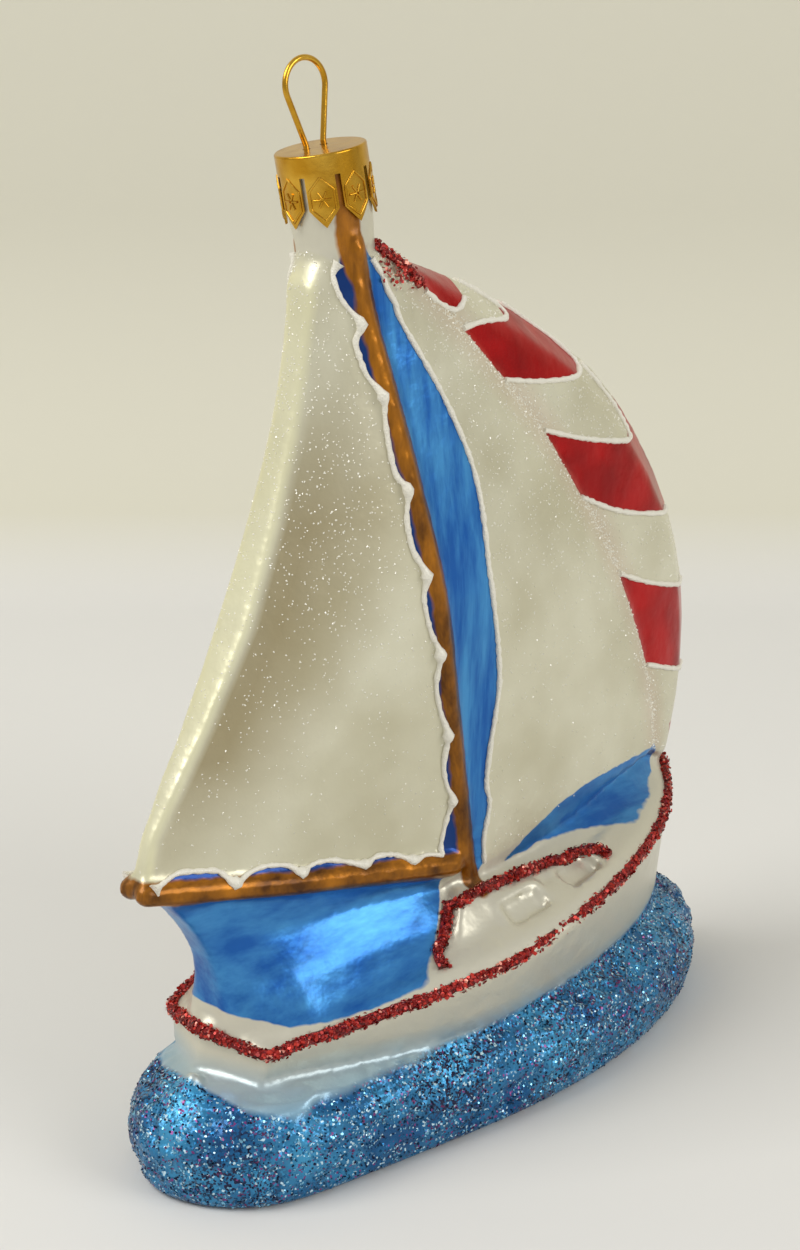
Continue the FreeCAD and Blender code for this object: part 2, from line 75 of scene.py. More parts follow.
camera_data = bpy.data.cameras.new("camera")
camera_data.sensor_width = SENSOR
camera_data.lens = FOCAL_PIXELS / FRAME_HEIGHT * SENSOR
camera_data.clip_start = NEAREST_SEEN
camera_data.clip_end = FARTHEST_SEEN
camera = bpy.data.objects.new("camera", camera_data)
scene.collection.objects.link(camera)
camera.location = CAMERA_PLACE
camera.rotation_euler = (math.pi / 2 - CAMERA_PITCH, 0, CAMERA_YAW)
scene.camera = camera
print("lens:", round(camera_data.lens, 2))

# %% [markdown]
# ## Small helpers
# Colours are easier to judge as the 0 to 255 values of a screen, but Blender works with linear
# light, so one function converts them. The others make an object of a finished mesh, round its
# shading, and tie it to the boat. Chance is seeded, so every run scatters the same flakes.

# %% Helpers for colours and pieces
SEED = 7
random.seed(SEED)
rng = np.random.default_rng(SEED)


def screen(*rgb):
    """A screen colour from 0 to 255 as linear light."""
    shares = [value / 255 for value in rgb]
    return (*(v / 12.92 if v <= 0.04045 else ((v + 0.055) / 1.055) ** 2.4 for v in shares), 1.0)


def add_object(name, mesh):
    piece = bpy.data.objects.new(name, mesh)
    scene.collection.objects.link(piece)
    return piece


def shade_smooth(mesh):
    mesh.polygons.foreach_set("use_smooth", [True] * len(mesh.polygons))


def as_mesh(piece):
    """The mesh that a modifier or a curve gives, once its helper object is gone."""
    mesh = bpy.data.meshes.new_from_object(piece.evaluated_get(bpy.context.evaluated_depsgraph_get()))
    bpy.data.objects.remove(piece)
    return mesh


def part_of_boat(piece, material):
    """Rides on the boat and takes the given finish."""
    piece.data.materials.clear()
    piece.data.materials.append(material)
    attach(piece, "root")


# %% [markdown]
# A material in Blender is a tree of nodes. The finishes below need the same few kinds again and
# again: noise for clouds and brush strokes, cells for flakes, ramps that turn a measure into a
# share from 0 to 1, and mixes. This class keeps one tree and gives each kind a short call.

# %% Helpers for materials
class Finish:
    """A material's node tree, with short calls for the nodes that the finishes share."""

    def __init__(self, name):
        self.material = bpy.data.materials.new(name)
        self.material.use_nodes = True
        self.tree = self.material.node_tree
        self.surface = self.tree.nodes["Principled BSDF"]

    def node(self, kind, **values):
        made = self.tree.nodes.new(kind)
        for key, value in values.items():
            setattr(made, key, value)
        return made

    def put(self, value, socket):
        if isinstance(value, bpy.types.NodeSocket):
            self.tree.links.new(value, socket)
        else:
            socket.default_value = value

    def set(self, **values):
        for key, value in values.items():
            self.put(value, self.surface.inputs[key.replace("_", " ")])

    def math(self, operation, a, b, clamp=False):
        made = self.node("ShaderNodeMath", operation=operation, use_clamp=clamp)
        self.put(a, made.inputs[0])
        self.put(b, made.inputs[1])
        return made.outputs[0]

    def times(self, *values):
        product = values[0]
        for value in values[1:]:
            product = self.math("MULTIPLY", product, value)
        return product

    def mix(self, share, a, b):
        """Colour a where the share is 0 and colour b where it is 1."""
        made = self.node("ShaderNodeMix", data_type="RGBA")
        self.put(share, made.inputs["Factor"])
        self.put(a, made.inputs[6])
        self.put(b, made.inputs[7])
        return made.outputs[2]

    def blend(self, share, a, b):
        """The same as mix, for numbers."""
        made = self.node("ShaderNodeMix", data_type="FLOAT")
        self.put(share, made.inputs["Factor"])
        self.put(a, made.inputs[2])
        self.put(b, made.inputs[3])
        return made.outputs[0]

    def place(self, scale=(1, 1, 1)):
        """The object's own coordinates in millimetres, stretched by a scale."""
        made = self.node("ShaderNodeMapping")
        made.inputs["Scale"].default_value = [s / MM for s in scale]
        self.put(self.node("ShaderNodeTexCoord").outputs["Object"], made.inputs["Vector"])
        return made.outputs["Vector"]

    def height(self):
        """Z in millimetres."""
        made = self.node("ShaderNodeSeparateXYZ")
        self.put(self.place(), made.inputs[0])
        return made.outputs[2]

    def noise(self, size, detail=3.0, stretch=(1, 1, 1), roughness=0.5):
        made = self.node("ShaderNodeTexNoise")
        self.put(self.place([s / size for s in stretch]), made.inputs["Vector"])
        made.inputs["Scale"].default_value = 1.0
        made.inputs["Detail"].default_value = detail
        made.inputs["Roughness"].default_value = roughness
        return made.outputs["Fac"]

    def cells(self, size):
        """Cells of about one size: the distance from their middles, and a random colour each."""
        made = self.node("ShaderNodeTexVoronoi")
        self.put(self.place([1 / size] * 3), made.inputs["Vector"])
        made.inputs["Scale"].default_value = 1.0
        return made.outputs["Distance"], made.outputs["Color"]

    def channels(self, colour):
        """Red, green and blue, used as three random numbers of a cell."""
        made = self.node("ShaderNodeSeparateColor")
        self.put(colour, made.inputs[0])
        return made.outputs

    def ramp(self, value, at_none, at_full):
        """0 at the first limit and beyond it, 1 at the second, and a straight line between."""
        made = self.node("ShaderNodeMapRange")
        self.put(value, made.inputs["Value"])
        self.put(at_none, made.inputs["From Min"])
        self.put(at_full, made.inputs["From Max"])
        return made.outputs["Result"]

    def attribute(self, name):
        return self.node("ShaderNodeAttribute", attribute_name=name).outputs["Fac"]

    def vector(self, operation, a, b, socket=1):
        made = self.node("ShaderNodeVectorMath", operation=operation)
        self.put(a, made.inputs[0])
        self.put(b, made.inputs[socket])
        return made.outputs[0]

    def tilted_normal(self, colour, amount):
        """The surface's normal, tipped another way in each cell, as flakes of glitter lie."""
        centred = self.vector("SUBTRACT", colour, (0.5, 0.5, 0.5))
        scaled = self.vector("SCALE", centred, amount, "Scale")
        normal = self.node("ShaderNodeNewGeometry").outputs["Normal"]
        tipped = self.vector("ADD", normal, scaled)
        unit = self.node("ShaderNodeVectorMath", operation="NORMALIZE")
        self.put(tipped, unit.inputs[0])
        return unit.outputs[0]

    def bump(self, height, distance, strength=1.0, normal=None):
        made = self.node("ShaderNodeBump")
        made.inputs["Strength"].default_value = strength
        made.inputs["Distance"].default_value = distance * MM
        self.put(height, made.inputs["Height"])
        if normal is not None:
            self.put(normal, made.inputs["Normal"])
        return made.outputs["Normal"]


# %% [markdown]
# ## Table and light
# The boat stands on a pale table that turns up into a pale wall behind it. One sheet does
# both: a flat stretch, a quarter round and a wall, made by sweeping a profile sideways. Its paper
# is painted a touch warmer and darker where it rises, as painted shade on the rise.

# %% Table and backdrop
TABLE_BEHIND = 235.0
SWEEP_RADIUS = 90.0
SWEEP_STEPS = 16
WALL_HEIGHT = 900.0
TABLE_FRONT = 900.0
SHEET_HALF_WIDTH = 1500.0
away = Vector((-math.sin(CAMERA_YAW), math.cos(CAMERA_YAW), 0))
across = Vector((away.y, -away.x, 0))

side_points = [-away * TABLE_FRONT, away * TABLE_BEHIND]
for step in range(1, SWEEP_STEPS + 1):
    turn = math.pi / 2 * step / SWEEP_STEPS
    forward = TABLE_BEHIND + SWEEP_RADIUS * math.sin(turn)
    up = SWEEP_RADIUS * (1 - math.cos(turn))
    side_points.append(away * forward + Vector((0, 0, up)))
side_points.append(away * (TABLE_BEHIND + SWEEP_RADIUS) + Vector((0, 0, WALL_HEIGHT)))

sheet = bmesh.new()
profile = [sheet.verts.new(point * MM) for point in side_points]
edges = [sheet.edges.new(pair) for pair in zip(profile, profile[1:])]
bmesh.ops.translate(sheet, verts=sheet.verts, vec=-across * SHEET_HALF_WIDTH * MM)
swept = bmesh.ops.extrude_edge_only(sheet, edges=edges)
moved = [v for v in swept["geom"] if isinstance(v, bmesh.types.BMVert)]
bmesh.ops.translate(sheet, verts=moved, vec=across * 2 * SHEET_HALF_WIDTH * MM)
bmesh.ops.recalc_face_normals(sheet, faces=sheet.faces)
sheet_mesh = bpy.data.meshes.new("table")
sheet.to_mesh(sheet_mesh)
shade_smooth(sheet_mesh)
table = add_object("table", sheet_mesh)

paper = Finish("pale_paper")
TABLE_WHITE = screen(214, 213, 210)
# Painted shade: the wall's white is darker and warmer than the table's, ramped in over the first
# BEND_HEIGHT millimetres of the rise.
SHADED_WALL_WHITE = screen(205, 202, 186)
BEND_HEIGHT = 14.0
wall_shade = paper.ramp(paper.height(), 0.0, BEND_HEIGHT)
paper.set(Base_Color=paper.mix(wall_shade, TABLE_WHITE, SHADED_WALL_WHITE), Roughness=0.75, Specular_IOR_Level=0.2)
sheet_mesh.materials.append(paper.material)
print("sheet:", len(sheet_mesh.polygons), "faces")

# %% [markdown]
# A large soft lamp stands high on the left, a second one fills from the right, and the sky is an
# even white. Large lamps are used because the glass mirrors them: a small one would leave a hard
# spot where the real boat has a broad satin glow.

# %% Lamps
BOAT_MIDDLE = Vector((0, 0, 0.075))
LAMP_WHITE = (1.0, 0.99, 0.97)
SKY_WHITE = (0.93, 0.93, 0.92, 1)
SKY_STRENGTH = 0.56


def soft_lamp(name, place, size, power):
    data = bpy.data.lights.new(name, "AREA")
    data.size = size
    data.energy = power
    data.color = LAMP_WHITE
    lamp = bpy.data.objects.new(name, data)
    lamp.location = place
    lamp.rotation_euler = (BOAT_MIDDLE - Vector(place)).to_track_quat("-Z", "Y").to_euler()
    scene.collection.objects.link(lamp)
    print(name, "of", power, "watts")


soft_lamp("high_left", (-0.75, 0.25, 0.95), 0.7, 9.0)
soft_lamp("right_fill", (0.25, -0.95, 0.55), 0.6, 4.5)
sky = bpy.data.worlds.new("sky")
sky.use_nodes = True
sky.node_tree.nodes["Background"].inputs["Color"].default_value = SKY_WHITE
sky.node_tree.nodes["Background"].inputs["Strength"].default_value = SKY_STRENGTH
scene.world = sky

# %% [markdown]
# ## The glass
# The solid in the frame is a hollow shell with flat facets between its levels. Only its outer
# skin shows, so the neck's rim is taken out, the inner shell is dropped and the mouth is closed
# under the cap. To find the outer skin, the script starts at the lowest corner and walks along
# the edges to all that hangs together with it.

# %% Outer skin
NECK_FOOT = Vector((-21.0, 0.0, 135.0))
NECK_LEAN_AFT = math.radians(8.0)
NECK_LEAN_PORT = math.radians(4.0)
NECK_AXIS = Vector((-math.tan(NECK_LEAN_AFT), math.tan(NECK_LEAN_PORT), 1)).normalized()
NECK_LENGTH = 14.3
RIM_NEAR = 0.05
SAME_CORNER = 0.002

skin = bmesh.new()
skin.from_mesh(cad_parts["glass_body"].data)
bmesh.ops.remove_doubles(skin, verts=skin.verts, dist=SAME_CORNER * MM)


def on_rim(vert):
    return abs((vert.co / MM - NECK_FOOT).dot(NECK_AXIS) - NECK_LENGTH) < RIM_NEAR


rim = [f for f in skin.faces if all(on_rim(v) for v in f.verts)]
bmesh.ops.delete(skin, geom=rim, context="FACES")
lowest = min(skin.verts, key=lambda v: v.co.z)
outside = {lowest}
waiting = [lowest]
while waiting:
    vert = waiting.pop()
    for edge in vert.link_edges:
        other = edge.other_vert(vert)
        if other not in outside:
            outside.add(other)
            waiting.append(other)
bmesh.ops.delete(skin, geom=[v for v in skin.verts if v not in outside], context="VERTS")
mouth = [e for e in skin.edges if e.is_boundary]
bmesh.ops.holes_fill(skin, edges=mouth, sides=0)
bmesh.ops.recalc_face_normals(skin, faces=skin.faces)
skin_mesh = bpy.data.meshes.new("skin")
skin.to_mesh(skin_mesh)
print("outer skin:", len(rim), "rim faces,", len(mouth), "mouth edges,", len(skin.faces), "faces")

# %% [markdown]
# A voxel remesh gives the skin even faces all over, and smoothing then melts the facets, as the
# flame melts the mould's marks. The cabin with its window frames and the stern are smoothed only
# once, so that their edges stay.

# %% Remesh and melt the facets
VOXEL = 0.62
MELT_STEPS = 6
DECK_SLOPE = 0.163

rough = add_object("rough_glass", skin_mesh)
remesh = rough.modifiers.new("even", "REMESH")
remesh.mode = "VOXEL"
remesh.voxel_size = VOXEL * MM
glass_mesh = as_mesh(rough)

melted = bmesh.new()
melted.from_mesh(glass_mesh)


def crisp(vert):
    """True on the cabin and on the stern, whose edges stay sharp."""
    x, y, z = vert.co / MM
    over_deck = 27 + DECK_SLOPE * (x + 13) < z < 37.5
    return (-18 < x < 34 and abs(y) > 9.5 and over_deck) or (x < -36 and 14 < z < 23)


def melt(verts):
    bmesh.ops.smooth_vert(melted, verts=verts, factor=0.5, use_axis_x=True, use_axis_y=True,
                          use_axis_z=True)


soft_verts = [v for v in melted.verts if not crisp(v)]
crisp_verts = [v for v in melted.verts if crisp(v)]
for step in range(MELT_STEPS):
    melt(soft_verts)
melt(crisp_verts)
print("melted:", len(soft_verts), "soft and", len(crisp_verts), "crisp corners")

# %% [markdown]
# The wave under the hull was pressed in the mould as a choppy sea. Two noises stand for it: a
# slow one lifts and lowers the water, and a quick one, folded at zero, gives narrow crests. Both
# are slanted, so the crests run aft and down. The relief goes almost only inwards and fades at
# the foot and at the top, so the boat still stands flat and keeps its size.

# %% Relief of the wave
WAVE_FOOT = 0.8
WAVE_TOP = 17.0
FOOT_FADE = 2.0
TOP_FADE = 2.5
SWELL_SIZE = 9.0
SWELL_HEIGHT = 0.55
CHOP_SIZE = 3.2
CHOP_HEIGHT = 0.5
CREST_SHARPNESS = 2.5
RELIEF_SUNK = 0.75

for vert in melted.verts:
    x, y, z = vert.co / MM
    if WAVE_FOOT < z < WAVE_TOP:
        slanted = Vector((0.55 * x + 0.45 * z, y, z - 0.3 * x))
        swell = SWELL_HEIGHT * noise.noise(slanted / SWELL_SIZE)
        chop = CHOP_HEIGHT * (1 - CREST_SHARPNESS * abs(noise.noise(slanted / CHOP_SIZE)))
        fade = min(1.0, (z - WAVE_FOOT) / FOOT_FADE, (WAVE_TOP - z) / TOP_FADE)
        vert.co += vert.normal * (swell + chop - RELIEF_SUNK) * fade * MM
melted.to_mesh(glass_mesh)
shade_smooth(glass_mesh)
glass = add_object("glass_boat", glass_mesh)
print("glass:", len(glass_mesh.vertices), "vertices")

# %% [markdown]
# ## Where the colours go
# The painter's zones are read from the side: each is an outline in the X and Z of the boat, the
# same to starboard and to port. First come the lines that were drawn: the spars, the white
# piping and its knots, and the seams of the big striped sail.

# %% Spars and piping
MAST_FOOT = (-4.5, 36.6)
MAST_HEAD = (-23.4, 138.5)
MAST_AT_CAP = (-24.2, 147.0)
BOOM_AFT = (-60.2, 48.6)
BOOM_FORE = (-8.2, 40.4)
LUFF_PIPING = [
    (-24.7, 134.2), (-25.6, 132.5), (-25.4, 130.5), (-24.7, 128.8), (-23.8, 127.5), (-22.6, 125.5),
    (-23.4, 123.3), (-23.1, 121.2), (-22.3, 118.4), (-20.6, 115.4), (-20.4, 111.9), (-20.0, 107.5),
    (-19.3, 103.8), (-18.0, 101.6), (-18.2, 97.1), (-17.5, 92.6), (-15.8, 88.8), (-16.1, 85.0),
    (-14.9, 80.1), (-13.3, 76.1), (-13.2, 71.0), (-12.1, 66.4), (-10.8, 62.6), (-10.8, 57.4),
    (-10.0, 54.0), (-8.9, 51.3), (-9.8, 47.0), (-10.6, 42.6)]
FOOT_PIPING = [
    (-59.8, 49.6), (-57.3, 50.2), (-55.0, 50.8), (-52.2, 50.4), (-49.1, 49.7), (-47.3, 47.8),
    (-44.3, 48.4), (-41.4, 48.7), (-37.9, 47.9), (-36.3, 46.6), (-33.3, 47.2), (-30.0, 46.8),
    (-25.2, 45.0), (-22.5, 45.5), (-19.5, 45.0), (-16.2, 43.4), (-13.6, 43.4), (-10.6, 42.6)]
KNOTS = [
    (-24.7, 134.2), (-22.6, 125.5), (-20.6, 115.4), (-18.0, 101.6), (-15.8, 88.8), (-13.3, 76.1),
    (-10.8, 62.6), (-8.9, 51.3), (-47.3, 47.8), (-36.3, 46.6), (-25.2, 45.0), (-16.2, 43.4), (-59.8, 49.6)]
FORESAIL_LEECH = [
    (-19.6, 134.4), (-18.9, 133.3), (-18.1, 131.9), (-17.3, 129.7), (-16.1, 127.7), (-15.2, 125.0),
    (-9.4, 114.5), (-5.4, 105.0), (-3.8, 97.6), (-3.2, 87.0), (-1.9, 79.0), (-1.0, 74.3), (-0.3, 68.6),
    (-0.8, 63.3), (-1.5, 58.7), (-1.9, 52.4), (-1.0, 48.6), (-1.7, 43.4), (-1.4, 38.6)]
FORESAIL_LUFF = [
    (-10.0, 130.1), (1.9, 118.3), (10.2, 110.0), (17.2, 102.1), (29.2, 85.4), (38.6, 68.2),
    (43.5, 52.9), (45.2, 44.8)]
STRIPE_SEAMS = [
    [(-9.3, 128.6), (-6.4, 126.4), (-2.6, 124.8), (0.4, 126.0)],
    [(-1.8, 122.0), (3.5, 122.3), (10.1, 121.6), (11.4, 122.2), (10.2, 123.5), (6.2, 126.0),
     (2.5, 128.0)],
    [(6.8, 113.2), (15.2, 111.6), (25.0, 110.7), (27.9, 112.1), (24.2, 115.8), (18.5, 120.0),
     (12.4, 123.1)],
    [(15.6, 104.0), (25.6, 100.9), (37.2, 98.4), (39.7, 99.1), (37.4, 103.4), (33.6, 107.6),
     (29.5, 111.6)],
    [(23.8, 92.0), (34.3, 87.5), (46.3, 84.6), (50.4, 84.4)],
    [(33.4, 77.4), (42.6, 73.7), (52.5, 70.9), (55.6, 70.8)],
    [(41.8, 59.7), (51.8, 56.2), (55.4, 56.0)]]
print("stripe seams:", len(STRIPE_SEAMS))

# %% [markdown]
# Then come the filled shapes: the red stripes from the head down, the blue wall under the boom,
# the blue corner under the foresail, the waterline, and the mainsail's after edge. That edge
# is a ridge of the glass, given as pairs of Z and X.

# %% Filled shapes
RED_STRIPES = [
    [(-9.3, 128.6), (-11.0, 133.0), (-3.0, 131.6), (1.0, 128.6), (0.4, 126.0), (-2.6, 124.8),
     (-6.4, 126.4)],
    [(-1.8, 122.0), (3.5, 122.3), (10.1, 121.6), (10.4, 123.2), (7.0, 127.5), (14.5, 124.8),
     (22.0, 119.4), (28.5, 113.6), (27.8, 112.0), (25.0, 110.7), (15.2, 111.6), (6.8, 113.2)],
    [(15.6, 104.0), (25.6, 100.9), (37.2, 98.4), (39.8, 99.4), (39.0, 104.0), (36.5, 108.5),
     (44.5, 102.5), (51.0, 92.5), (54.0, 84.4), (46.3, 84.6), (34.3, 87.5), (23.8, 92.0)],
    [(33.4, 77.4), (42.6, 73.7), (52.5, 70.9), (61.0, 70.6), (61.5, 56.0), (51.8, 56.2), (41.8, 59.7)],
    [(51.0, 46.4), (60.0, 46.2), (60.0, 41.0), (53.0, 41.0)]]
BLUE_WALL = [
    (-62.0, 47.6), (-57.0, 44.5), (-53.4, 40.0), (-51.0, 34.0), (-50.6, 28.4), (-48.4, 26.9),
    (-46.6, 26.0), (-41.4, 24.3), (-36.4, 24.5), (-26.1, 26.2), (-20.8, 27.6), (-15.2, 31.2),
    (-10.6, 36.1), (-9.6, 40.6), (-60.0, 48.6)]
BLUE_BOW = [
    (2.9, 37.2), (9.0, 40.2), (17.1, 43.0), (24.0, 44.2), (30.8, 44.6), (45.0, 44.7), (47.0, 42.0),
    (45.5, 39.4), (40.0, 38.0), (31.0, 36.8), (23.0, 37.4), (12.0, 37.9), (4.0, 37.3)]
WATERLINE = [
    (-62.0, 15.5), (-55.5, 19.0), (-51.5, 15.0), (-46.0, 13.2), (-40.0, 14.4), (-20.0, 15.4),
    (0.0, 16.4), (30.0, 17.6), (54.0, 18.9), (62.0, 18.9)]
MAINSAIL_RIDGE = [
    (34, -61.2), (44, -61.4), (56, -58.7), (70, -50.1), (84, -42.4), (98, -36.6), (110, -32.5),
    (119, -30.4), (126, -29.2), (131, -28.5), (140, -27.5)]
MAINSAIL_BACK = [(-64, 50), (-30, 137)]
FORESAIL_FRONT = [(30, 42), (70, 42), (70, 100), (0, 140)]
BEHIND_MAST = (-7.0, 45.0)

blue_by_mast = FORESAIL_LEECH + [MAST_FOOT, BEHIND_MAST, MAST_HEAD]
blue_by_luff = LUFF_PIPING + [MAST_FOOT, MAST_HEAD]
blue_by_foot = FOOT_PIPING + [BOOM_FORE, BOOM_AFT]
blue_shapes = (blue_by_mast, blue_by_luff, blue_by_foot, BLUE_WALL, BLUE_BOW)
mainsail = LUFF_PIPING + FOOT_PIPING[-2::-1] + MAINSAIL_BACK
foresails = FORESAIL_LEECH + FORESAIL_FRONT
print("red stripes:", len(RED_STRIPES), "and blue shapes:", len(blue_shapes))

# %% [markdown]
# Every vertex keeps how far inside a zone it lies, in millimetres, and the finish cuts the colour
# off where that passes zero. So an edge is sharper than the mesh, and a little noise makes it
# look brushed by hand.

# %% Measure the zones
FAR_OFF = 1e9
LEVEL_LINE = 1e-9
MAST_HALF = 1.75
BOOM_EXTRA = 0.25


def near_line(points, line):
    """Distance of each X, Z point from an open line."""
    nearest = np.full(len(points), FAR_OFF)
    for a, b in zip(np.array(line[:-1], float), np.array(line[1:], float)):
        along = b - a
        share = np.clip(((points - a) @ along) / (along @ along), 0, 1)
        nearest = np.minimum(nearest, np.linalg.norm(points - a - share[:, None] * along, axis=1))
    return nearest


def inside(points, outline):
    """How far each X, Z point lies inside a closed outline, negative outside."""
    closed = outline + outline[:1]
    odd = np.zeros(len(points), bool)
    for a, b in zip(closed, closed[1:]):
        crosses = (a[1] > points[:, 1]) != (b[1] > points[:, 1])
        rise = b[1] - a[1] or LEVEL_LINE
        odd ^= crosses & (points[:, 0] < a[0] + (points[:, 1] - a[1]) / rise * (b[0] - a[0]))
    nearest = near_line(points, closed)
    return np.where(odd, nearest, -nearest)


def inside_any(outlines):
    return np.max([inside(side_view, outline) for outline in outlines], axis=0)


places = np.zeros(len(glass_mesh.vertices) * 3)
glass_mesh.vertices.foreach_get("co", places)
places = places.reshape(-1, 3) / MM
side_view = places[:, [0, 2]]
level = places[:, 2]
from_mast = near_line(side_view, [MAST_FOOT, MAST_HEAD, MAST_AT_CAP])
from_boom = near_line(side_view, [BOOM_AFT, BOOM_FORE]) - BOOM_EXTRA
zones = {
    "blue": inside_any(blue_shapes),
    "deep": inside_any((blue_by_luff, blue_by_foot)),
    "red": inside_any(RED_STRIPES),
    "amber": MAST_HALF - np.minimum(from_mast, from_boom),
    "water": np.interp(places[:, 0], *zip(*WATERLINE)) - level,
    "canvas": inside_any((mainsail, foresails)),
    "luff": near_line(side_view, FORESAIL_LUFF),
    "fore": places[:, 0] - np.interp(level, *zip(*MAINSAIL_RIDGE)),
}
for name, values in zones.items():
    layer = glass_mesh.attributes.new(name, "FLOAT", "POINT")
    layer.data.foreach_set("value", values.astype(np.float32))
print("zones:", {name: int((values > 0).sum()) for name, values in zones.items()})

# %% [markdown]
# ## The lacquers
# Under every colour lies silver, so the colours are partly metal: clear red and blue look deep
# and bright at once, and the bare sails are a satin pearl. One material holds all the lacquers
# and chooses by the zones. The pearl comes first. Forward of the mainsail's ridge an olive
# painted reflection and shade darkens the pearl, a pale painted highlight lies on the ridge itself,
# and a pinkish painted shadow runs along the foresail's front edge.

# %% Pearl of the sails
paint = Finish("lacquered_glass")
BRUSH_WOBBLE = 0.9
wobble = paint.times(paint.math("SUBTRACT", paint.noise(3.0, 2.0), 0.5), BRUSH_WOBBLE)


def zone_mask(name, softness=0.12):
    value = paint.math("ADD", paint.attribute(name), wobble)
    return paint.ramp(value, -softness, softness)


up = paint.height()
fore = paint.attribute("fore")
pearl = paint.mix(paint.ramp(paint.noise(16.0, 2.0), 0.35, 0.7), screen(216, 213, 190),
                  screen(196, 191, 164))
# Painted reflection and shade: olive darkening just forward of the mainsail's ridge. It fades forward and
# fades out low and high on the sail.
painted_shade_across = paint.times(paint.ramp(fore, 0.6, 2.2), paint.ramp(fore, 22.0, 5.0))
painted_shade_share = paint.times(painted_shade_across, paint.ramp(up, 50.0, 66.0), paint.ramp(up, 122.0, 98.0), 0.75)
pearl = paint.mix(painted_shade_share, pearl, screen(140, 123, 80))
# Painted highlight: a pale yellow line along the mainsail's ridge.
ridge_highlight_share = paint.times(paint.ramp(fore, -0.8, 0.2), paint.ramp(fore, 1.4, 0.5), 0.6)
pearl = paint.mix(ridge_highlight_share, pearl, screen(232, 228, 186))
# Painted shadow: a pinkish-brown tint on the pearl along the foresail's front edge, where its crease lies.
luff_shadow_share = paint.times(paint.ramp(paint.attribute("luff"), 4.5, 0.5), 0.3)
pearl = paint.mix(luff_shadow_share, pearl, screen(196, 160, 146))
print("pearl nodes:", len(paint.tree.nodes))

# %% [markdown]
# Brush strokes are noise that is stretched along the stroke: lengthwise on the wall under the
# boom, and upright between the sails. The spars are amber lacquer with streaks of brown like wood
# grain, and the hull is cream that fades to blue at the water.

# %% Brushed lacquers
strokes_along = paint.noise(5.0, 4.0, (0.28, 1, 1.0), 0.62)
strokes_upright = paint.noise(3.2, 4.0, (1.4, 1.4, 0.13), 0.6)
below_boom = paint.ramp(up, 47.0, 44.0)
strokes = paint.blend(below_boom, strokes_upright, strokes_along)
blue = paint.mix(paint.ramp(strokes, 0.34, 0.66), screen(24, 92, 172), screen(70, 146, 206))
blue = paint.mix(zone_mask("deep"), blue, screen(20, 58, 122))
red = paint.mix(paint.ramp(paint.noise(9.0, 2.0), 0.35, 0.7), screen(188, 12, 14), screen(150, 6, 8))
grain = paint.noise(2.4, 4.0, (0.35, 1, 0.22), 0.6)
amber = paint.mix(paint.ramp(grain, 0.36, 0.66), screen(84, 48, 8), screen(178, 112, 22))
cream = paint.mix(paint.ramp(up, 14.0, 20.0), screen(130, 168, 190), screen(204, 200, 182))
print("lacquer nodes:", len(paint.tree.nodes))

# %% [markdown]
# The wave is metallic blue with fine glitter. A cell texture stands for the smallest grains: each
# cell has a random colour, and its three channels pick the navy, pale and violet ones. The same
# cells tip the surface a little, so they sparkle one by one.

# %% Wave lacquer and the whole coat
grain_colour = paint.cells(0.34)[1]
navy_pick, pale_pick, violet_pick = paint.channels(grain_colour)[:3]
water = paint.mix(paint.ramp(paint.noise(10.0, 3.0), 0.38, 0.66), screen(18, 84, 136),
                  screen(64, 150, 196))
navy_share = paint.times(paint.ramp(navy_pick, 0.62, 0.66), paint.ramp(paint.noise(14.0, 2.0), 0.4, 0.62))
water = paint.mix(navy_share, water, screen(30, 32, 66))
water = paint.mix(paint.ramp(pale_pick, 0.93, 0.95), water, screen(196, 226, 240))
water = paint.mix(paint.ramp(violet_pick, 0.955, 0.96), water, screen(120, 60, 120))

in_water = zone_mask("water", 0.5)
colour = paint.mix(zone_mask("canvas", 0.3), cream, pearl)
colour = paint.mix(zone_mask("red"), colour, red)
colour = paint.mix(zone_mask("blue"), colour, blue)
colour = paint.mix(zone_mask("amber", 0.2), colour, amber)
colour = paint.mix(in_water, colour, water)

glossy = paint.math("MAXIMUM", zone_mask("red"), paint.times(zone_mask("blue"), 0.6), clamp=True)
roughness = paint.blend(in_water, paint.blend(glossy, 0.34, 0.27), 0.3)
sparkle = paint.tilted_normal(grain_colour, paint.times(in_water, 0.5))
ripples = paint.bump(paint.noise(4.5, 3.0), 0.5, 0.5, sparkle)
paint.set(Base_Color=colour, Roughness=roughness, Metallic=paint.blend(glossy, 0.42, 0.78),
          Normal=ripples, Coat_Weight=0.12, Coat_Roughness=0.12, Specular_IOR_Level=0.3)
part_of_boat(glass, paint.material)
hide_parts("glass_body")
print("glass finish:", len(paint.tree.nodes), "nodes")

# %% [markdown]
# ## Piping
# The painter drew the white lines with thick lacquer from a nozzle, so they are round beads that
# lie on the glass, thicker where the nozzle paused. Each line is a list of X and Z points. A
# search along Y finds the glass there, and the line is walked in small even steps.

# %% Lines on the glass
SEARCH_FROM = 60.0
surface = BVHTree.FromPolygons([v.co.copy() for v in glass_mesh.vertices],
                               [tuple(p.vertices) for p in glass_mesh.polygons])


def walk(points, step):
    """Points at even steps along a smooth line through the given ones."""
    knots = np.array(points, float)
    full = np.vstack([2 * knots[0] - knots[1], knots, 2 * knots[-1] - knots[-2]])
    path = []
    for a, b, c, d in zip(full, full[1:], full[2:], full[3:]):
        count = max(2, int(np.linalg.norm(c - b) / step))
        for number in range(count):
            t = number / count
            path.append(0.5 * (2 * b + (c - a) * t + (2 * a - 5 * b + 4 * c - d) * t * t
                               + (3 * b - a - 3 * c + d) * t ** 3))
    path.append(full[-2])
    return path


